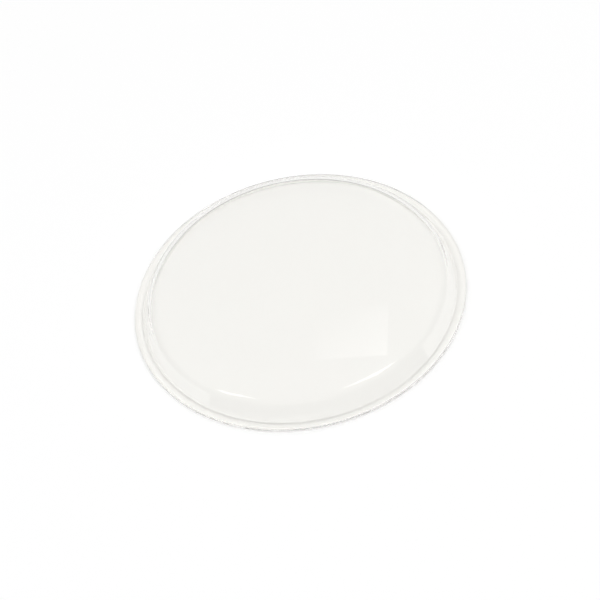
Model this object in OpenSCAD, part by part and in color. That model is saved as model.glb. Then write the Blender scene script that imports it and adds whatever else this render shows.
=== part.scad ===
// Watch glass: a shallow clear dome with a rounded shoulder and a narrow flat rim.
// It stands on its rim, crown up. The origin is the centre of the resting face.

/* [Glass] */
// Outside diameter over the rim
outer_d = 100; // [80:5:150]
// Thickness of the glass, the same all over
glass_t = 1.1; // [0.8:0.1:1.1]

/* [Dome] */
// Height of the shoulder's corner, where crown and wall would meet without a radius
shoulder_h = 6.4; // [6:0.2:10]
// Rise of the crown above that corner
crown_rise = 3.2; // [1.5:0.1:5]
// Radius of the shoulder
shoulder_r = 4; // [2:0.5:5]
// Slope of the side wall, in degrees from level
wall_angle = 60; // [50:1:70]

/* [Rim] */
// Width of the rim beyond the foot of the wall
rim_w = 2.7; // [2:0.1:4]
// Radius of the bend between wall and rim
bend_r = 0.6; // [0.6:0.05:1.2]
// Radius of the fire-polished edge corners
edge_r = 0.35; // [0.2:0.05:0.35]

/* [Hidden] */

turn_steps = 180; // facets in one turn about the axis
crown_steps = 14; // steps along the crown's section
shoulder_steps = 10; // steps along the shoulder's section
bend_steps = 6; // steps along the bend's section
edge_steps = 5; // steps along each edge corner

// Heights, radii and slopes of the section are measured at the middle of the glass.
half_t = glass_t / 2;
foot_x = outer_d / 2 - rim_w;
corner_x = foot_x - (shoulder_h - half_t) / tan(wall_angle);

// The crown is an arc about the axis through the shoulder's corner.
crown_r = (corner_x * corner_x + crown_rise * crown_rise) / (2 * crown_rise);
crown_c = [0, shoulder_h + crown_rise - crown_r];

// The shoulder's arc touches the crown's arc from inside, and the wall's line.
wall_distance = corner_x * sin(wall_angle) + (shoulder_h - crown_c.y) * cos(wall_angle);
shoulder_reach = crown_r - shoulder_r;
crown_lean = wall_angle - acos((wall_distance - shoulder_r) / shoulder_reach);
shoulder_c = crown_c + shoulder_reach * lean(crown_lean);

// The bend's arc touches the wall's line and the level rim from above.
bend_c = [foot_x + bend_r * tan(wall_angle / 2), half_t + bend_r];

// Direction that leans away from straight up by an angle
function lean(angle) = [sin(angle), cos(angle)];

// Points along an arc, after its first, between two leans
function arc(centre, radius, from, to, steps) =
    [for (i = [1:steps]) centre + radius * lean(from + (to - from) * i / steps)];

// One face of the glass from the axis to the rim, offset from the middle of the glass
function face(offset) = concat(
    [crown_c + (crown_r + offset) * lean(0)],
    arc(crown_c, crown_r + offset, 0, crown_lean, crown_steps),
    arc(shoulder_c, shoulder_r + offset, crown_lean, wall_angle, shoulder_steps),
    [bend_c - (bend_r - offset) * lean(wall_angle)],
    arc(bend_c, offset - bend_r, wall_angle, 0, bend_steps));

// The rim's outer edge, from its top corner to the resting face
function edge() = let (edge_x = outer_d / 2 - edge_r) concat(
    [[edge_x, glass_t]],
    arc([edge_x, glass_t - edge_r], edge_r, 0, 90, edge_steps),
    [[edge_x + edge_r, edge_r]],
    arc([edge_x, edge_r], edge_r, 90, 180, edge_steps));

function reversed(points) = [for (i = [len(points) - 1:-1:0]) points[i]];

module watch_glass() {
    color([0.96, 0.96, 0.94, 0.5])
    rotate_extrude($fn = turn_steps)
    polygon(concat(face(half_t), edge(), reversed(face(-half_t))));
}

watch_glass();
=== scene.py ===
"""The looks of the watch glass: clear glass, crown up, on a white studio floor."""
import math

import bmesh
import bpy
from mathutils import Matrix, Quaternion, Vector


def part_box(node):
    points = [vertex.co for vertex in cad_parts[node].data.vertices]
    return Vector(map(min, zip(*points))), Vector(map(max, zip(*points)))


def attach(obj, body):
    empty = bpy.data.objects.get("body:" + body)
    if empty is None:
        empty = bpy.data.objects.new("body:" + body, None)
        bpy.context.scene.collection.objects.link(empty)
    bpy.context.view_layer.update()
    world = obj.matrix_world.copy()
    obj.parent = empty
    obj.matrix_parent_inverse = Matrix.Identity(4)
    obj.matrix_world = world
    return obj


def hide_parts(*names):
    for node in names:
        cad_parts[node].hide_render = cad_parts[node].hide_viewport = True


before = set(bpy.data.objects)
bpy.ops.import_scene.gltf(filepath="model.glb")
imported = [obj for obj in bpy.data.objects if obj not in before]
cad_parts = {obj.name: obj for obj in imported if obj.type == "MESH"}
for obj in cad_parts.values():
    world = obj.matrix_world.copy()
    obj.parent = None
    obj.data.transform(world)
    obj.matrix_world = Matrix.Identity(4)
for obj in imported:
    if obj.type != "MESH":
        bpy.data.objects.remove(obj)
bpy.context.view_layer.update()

NODE = "watch_glass"
LOW, HIGH = (Vector(corner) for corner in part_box(NODE))

# The section, in metres. Heights, radii and slopes are those of the middle of the glass.
GLASS_T = 0.0011
SHOULDER_H = 0.0064
SHOULDER_R = 0.004
WALL_SLOPE = math.radians(60)
RIM_W = 0.0027
BEND_R = 0.0006
EDGE_R = 0.00035
HALF_T = GLASS_T / 2
RADIUS = HIGH.x
CROWN_RISE = HIGH.z - HALF_T - SHOULDER_H

# How finely the mesh follows the section and the turn
CROWN_STEPS = 56
SHOULDER_STEPS = 32
BEND_STEPS = 20
EDGE_STEPS = 16
TURN_STEPS = 288

# The glass: what is left of white light that has passed through it once, and its unevenness
GLASS_TINT = (0.955, 0.951, 0.933, 1)
GLASS_IOR = 1.5
WAVES_PER_METRE = 45
WAVE_HEIGHT = 0.00002

# Floor, camera and light
FLOOR_SIZE = 6.0
FLOOR_GAP = 0.0001
FLOOR_WHITE = (0.95, 0.95, 0.95, 1)
LENS_MM = 200
SENSOR_MM = 36
GLASS_SHARE = 0.558  # the glass's width as a share of the picture's
CAMERA_LIFT = math.radians(48.44)
CAMERA_ROLL = math.radians(13)
LIGHT_DISTANCE = 1.2
SKY_LEAN = math.radians(10)
SKY_LOW = 0.38
SKY_HIGH = 0.83
FILL = 0.8
FILL_ANGLE = math.radians(120)
MAX_BOUNCES = 64  # light is reflected many times inside the thin rim


def lean(angle):
    """The direction that leans away from straight up by an angle."""
    return Vector((math.sin(angle), math.cos(angle)))


def arc(centre, radius, start, end, steps, side=1):
    """Points along an arc between two leans, each with the outward normal of its side of the glass."""
    turns = (start + (end - start) * i / steps for i in range(steps + 1))
    return [(centre + radius * lean(turn), side * lean(turn)) for turn in turns]


def section_arcs():
    """Crown, shoulder and bend of the middle line, each as (centre, radius), and the crown's last lean."""
    foot = RADIUS - RIM_W
    corner = foot - (SHOULDER_H - HALF_T) / math.tan(WALL_SLOPE)
    crown_r = (corner**2 + CROWN_RISE**2) / (2 * CROWN_RISE)
    crown_c = Vector((0, SHOULDER_H + CROWN_RISE - crown_r))
    wall = (Vector((corner, SHOULDER_H)) - crown_c).dot(lean(WALL_SLOPE))
    reach = crown_r - SHOULDER_R
    crown_lean = WALL_SLOPE - math.acos((wall - SHOULDER_R) / reach)
    shoulder_c = crown_c + reach * lean(crown_lean)
    bend_c = Vector((foot + BEND_R * math.tan(WALL_SLOPE / 2), HALF_T + BEND_R))
    return (crown_c, crown_r), (shoulder_c, SHOULDER_R), (bend_c, BEND_R), crown_lean


def face(side):
    """The outer face, side 1, or the underside, side -1, from the axis to the rim."""
    (crown_c, crown_r), (shoulder_c, shoulder_r), (bend_c, bend_r), crown_lean = section_arcs()
    offset = side * HALF_T
    crown = arc(crown_c, crown_r + offset, 0, crown_lean, CROWN_STEPS, side)
    shoulder = arc(shoulder_c, shoulder_r + offset, crown_lean, WALL_SLOPE, SHOULDER_STEPS, side)
    bend = arc(bend_c, offset - bend_r, WALL_SLOPE, 0, BEND_STEPS, side)
    return crown + shoulder[1:] + bend


def edge():
    """The rim's rounded outer edge, from its upper corner to the resting face."""
    right = math.pi / 2
    upper = Vector((RADIUS - EDGE_R, GLASS_T - EDGE_R))
    lower = Vector((RADIUS - EDGE_R, EDGE_R))
    return arc(upper, EDGE_R, 0, right, EDGE_STEPS) + arc(lower, EDGE_R, right, 2 * right, EDGE_STEPS)


def section():
    """The whole closed section, from the axis over the outer face, round the edge and back."""
    return face(1) + edge() + face(-1)[::-1]


def turned(name, outline, steps):
    """A closed mesh with exact normals, turned about Z from an outline that starts and ends on the axis."""
    mesh = bmesh.new()
    normals = []

    def corner(point, normal, turn):
        normals.append((normal.x * math.cos(turn), normal.x * math.sin(turn), normal.y))
        return mesh.verts.new((point.x * math.cos(turn), point.x * math.sin(turn), point.y))

    turns = [2 * math.pi * i / steps for i in range(steps)]
    rings = [[corner(point, normal, turn) for turn in turns] for point, normal in outline[1:-1]]
    top = corner(*outline[0], 0)
    bottom = corner(*outline[-1], 0)
    for i in range(steps):
        j = (i + 1) % steps
        mesh.faces.new((top, rings[0][i], rings[0][j]))
        mesh.faces.new((bottom, rings[-1][j], rings[-1][i]))
        for upper, lower in zip(rings, rings[1:]):
            mesh.faces.new((upper[i], lower[i], lower[j], upper[j]))
    for polygon in mesh.faces:
        polygon.smooth = True
    data = bpy.data.meshes.new(name)
    mesh.to_mesh(data)
    mesh.free()
    data.normals_split_custom_set_from_vertices(normals)
    piece = bpy.data.objects.new(name, data)
    bpy.context.scene.collection.objects.link(piece)
    return piece


def clear_glass():
    """Clear glass with the faint unevenness that shaping leaves in its surface."""
    material = bpy.data.materials.new("clear_glass")
    material.use_nodes = True
    nodes, links = material.node_tree.nodes, material.node_tree.links
    shader = nodes["Principled BSDF"]
    shader.inputs["Base Color"].default_value = GLASS_TINT
    shader.inputs["Roughness"].default_value = 0
    shader.inputs["IOR"].default_value = GLASS_IOR
    shader.inputs["Transmission Weight"].default_value = 1
    place = nodes.new("ShaderNodeTexCoord")
    waves = nodes.new("ShaderNodeTexNoise")
    waves.inputs["Scale"].default_value = WAVES_PER_METRE
    waves.inputs["Detail"].default_value = 1
    bump = nodes.new("ShaderNodeBump")
    bump.inputs["Distance"].default_value = WAVE_HEIGHT
    links.new(place.outputs["Object"], waves.inputs["Vector"])
    links.new(waves.outputs["Fac"], bump.inputs["Height"])
    links.new(bump.outputs["Normal"], shader.inputs["Normal"])
    return material


def glass_piece():
    """The watch glass itself, in place of its CAD node."""
    piece = turned("clear_glass_dome", section(), TURN_STEPS)
    piece.data.materials.append(clear_glass())
    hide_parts(NODE)
    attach(piece, "root")
    return piece


def floor_piece():
    """A plain white floor just under the glass."""
    bpy.ops.mesh.primitive_plane_add(size=FLOOR_SIZE, location=(0, 0, LOW.z - FLOOR_GAP))
    floor = bpy.context.object
    floor.name = "studio_floor"
    material = bpy.data.materials.new("floor_white")
    material.use_nodes = True
    shader = material.node_tree.nodes["Principled BSDF"]
    shader.inputs["Base Color"].default_value = FLOOR_WHITE
    shader.inputs["Roughness"].default_value = 1
    shader.inputs["Specular IOR Level"].default_value = 0
    floor.data.materials.append(material)


def sky():
    """A soft surround, brightest overhead towards the far side, and darkest low on the camera's side."""
    world = bpy.data.worlds.new("studio")
    bpy.context.scene.world = world
    world.use_nodes = True
    nodes, links = world.node_tree.nodes, world.node_tree.links
    place = nodes.new("ShaderNodeTexCoord")
    rise = nodes.new("ShaderNodeVectorMath")
    rise.operation = "DOT_PRODUCT"
    rise.inputs[1].default_value = (0, math.sin(SKY_LEAN), math.cos(SKY_LEAN))
    ramp = nodes.new("ShaderNodeMapRange")
    ramp.inputs["From Min"].default_value = -math.sin(SKY_LEAN)
    ramp.inputs["From Max"].default_value = 1
    ramp.inputs["To Min"].default_value = SKY_LOW
    ramp.inputs["To Max"].default_value = SKY_HIGH
    links.new(place.outputs["Generated"], rise.inputs[0])
    links.new(rise.outputs["Value"], ramp.inputs["Value"])
    links.new(ramp.outputs["Result"], nodes["Background"].inputs["Strength"])
    nodes["Background"].inputs["Color"].default_value = (1, 1, 1, 1)


def softbox(name, toward, width, height, brightness, fade=(0, 0)):
    """A softbox that faces the glass from a direction, as bright as a multiple of plain white.

    fade is the share of it that is lost along its width and along its height. A gain is negative."""
    light = bpy.data.lights.new(name, "AREA")
    light.shape = "RECTANGLE"
    light.size = width
    light.size_y = height
    light.energy = brightness * math.pi * width * height
    lamp = bpy.data.objects.new(name, light)
    bpy.context.scene.collection.objects.link(lamp)
    direction = Vector(toward).normalized()
    lamp.location = direction * LIGHT_DISTANCE
    lamp.rotation_mode = "QUATERNION"
    lamp.rotation_quaternion = direction.to_track_quat("Z", "Y")
    if any(fade):
        fade_light(light, fade)
    return lamp


def fade_light(light, fade):
    """Dims a softbox evenly from one edge to the other, never below dark."""
    light.use_nodes = True
    nodes, links = light.node_tree.nodes, light.node_tree.links
    place = nodes.new("ShaderNodeNewGeometry")
    loss = nodes.new("ShaderNodeVectorMath")
    loss.operation = "DOT_PRODUCT"
    loss.inputs[1].default_value = (*fade, 0)
    share = nodes.new("ShaderNodeMath")
    share.operation = "SUBTRACT"
    share.inputs[0].default_value = 1
    lit = nodes.new("ShaderNodeMath")
    lit.operation = "MAXIMUM"
    lit.inputs[1].default_value = 0
    links.new(place.outputs["Parametric"], loss.inputs[0])
    links.new(loss.outputs["Value"], share.inputs[1])
    links.new(share.outputs["Value"], lit.inputs[0])
    links.new(lit.outputs["Value"], nodes["Emission"].inputs["Strength"])


def fill():
    """A broad light from above that whitens the floor and isn't mirrored in the glass."""
    light = bpy.data.lights.new("fill", "SUN")
    light.energy = FILL
    light.angle = FILL_ANGLE
    lamp = bpy.data.objects.new("fill", light)
    lamp.visible_glossy = False
    bpy.context.scene.collection.objects.link(lamp)


def camera():
    """A long lens above the near side, turned a little about its own axis."""
    data = bpy.data.cameras.new("camera")
    data.lens = LENS_MM
    data.sensor_width = SENSOR_MM
    view = bpy.data.objects.new("camera", data)
    bpy.context.scene.collection.objects.link(view)
    back = Vector((0, -math.cos(CAMERA_LIFT), math.sin(CAMERA_LIFT)))
    view.location = back * (2 * RADIUS * LENS_MM / SENSOR_MM / GLASS_SHARE)
    view.rotation_mode = "QUATERNION"
    roll = Quaternion((0, 0, 1), -CAMERA_ROLL)
    view.rotation_quaternion = back.to_track_quat("Z", "Y") @ roll
    bpy.context.scene.camera = view


def render_settings():
    """Plain colours, and light paths long and sharp enough for clear glass."""
    scene = bpy.context.scene
    scene.view_settings.view_transform = "Standard"
    scene.cycles.max_bounces = MAX_BOUNCES
    scene.cycles.transmission_bounces = MAX_BOUNCES
    scene.cycles.glossy_bounces = MAX_BOUNCES
    scene.cycles.blur_glossy = 0


glass_piece()
floor_piece()
sky()
softbox("softbox_right", toward=(0.34, -0.2, 0.9), width=0.24, height=0.55, brightness=2.5)
softbox("softbox_left", toward=(-0.54, -0.1, 0.82), width=0.18, height=0.4, brightness=2.5)
softbox(
    "softbox_back", toward=(0.105, 0.61, 1.03), width=0.19, height=0.18, brightness=0.24, fade=(1.5, -1.5)
)
fill()
camera()
render_settings()
